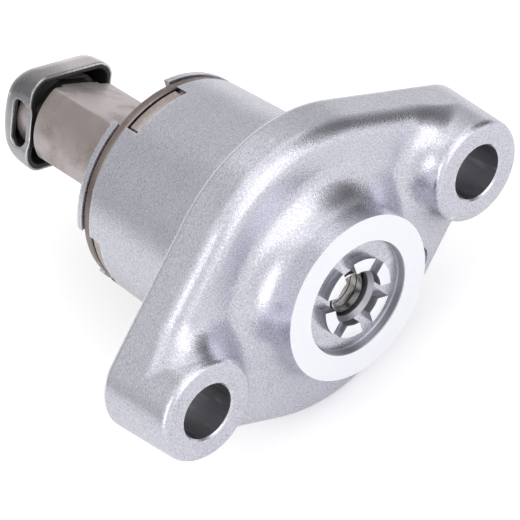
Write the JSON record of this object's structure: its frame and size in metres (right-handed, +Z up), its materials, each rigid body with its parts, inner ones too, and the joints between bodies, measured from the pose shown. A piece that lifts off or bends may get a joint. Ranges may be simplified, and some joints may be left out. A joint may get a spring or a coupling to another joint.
{
  "type": "timing chain tensioner",
  "caption": "Screw-type timing chain tensioner: cast aluminium body with a two-ear flange, and a spring-driven double-D plunger with a stamped steel cap.",
  "frame": {"origin": "centre of the flange's mounting face, on the plunger's axis and midway between the bolt holes", "axes": "+Y along the plunger, from the mounting face towards the chain; +X along the line of the bolt holes; +Z up, square to both"},
  "size_m": [0.058, 0.0579, 0.0392],
  "materials": {
    "cast_aluminium": "fine shot-blasted casting, ring face machined",
    "plate_steel": "stamped, satin",
    "ring_steel": "oiled spring steel",
    "plunger_steel": "ground, satin",
    "cap_steel": "stamped and tumbled",
    "screw_steel": "turned",
    "spring_steel": "oiled spring wire"
  },
  "bodies": {
    "housing": {"housing": "cast_aluminium", "guide_plate": "plate_steel", "snap_ring": "ring_steel", "torsion_spring": "spring_steel", "shaft_seat": "screw_steel"},
    "plunger": {"plunger": "plunger_steel", "plunger_cap": "cap_steel"},
    "screw": {"screw_shaft": "screw_steel"}
  },
  "joints": [
    {"name": "plunger_slide", "type": "slide", "parent": "housing", "child": "plunger", "axis": [0, 1, 0], "range_m": [-0.013, 0], "stiffness_N_per_m": 600, "springref_m": 0.03},
    {"name": "screw_turn", "type": "hinge", "parent": "housing", "child": "screw", "pos_m": [0, 0, 0], "axis": [0, 1, 0], "range_deg": [0, 651], "deforming": ["torsion_spring"]}
  ],
  "couplings": [
    {"joint": "screw_turn", "follows": "plunger_slide", "rad_per_m": -872.66}
  ]
}
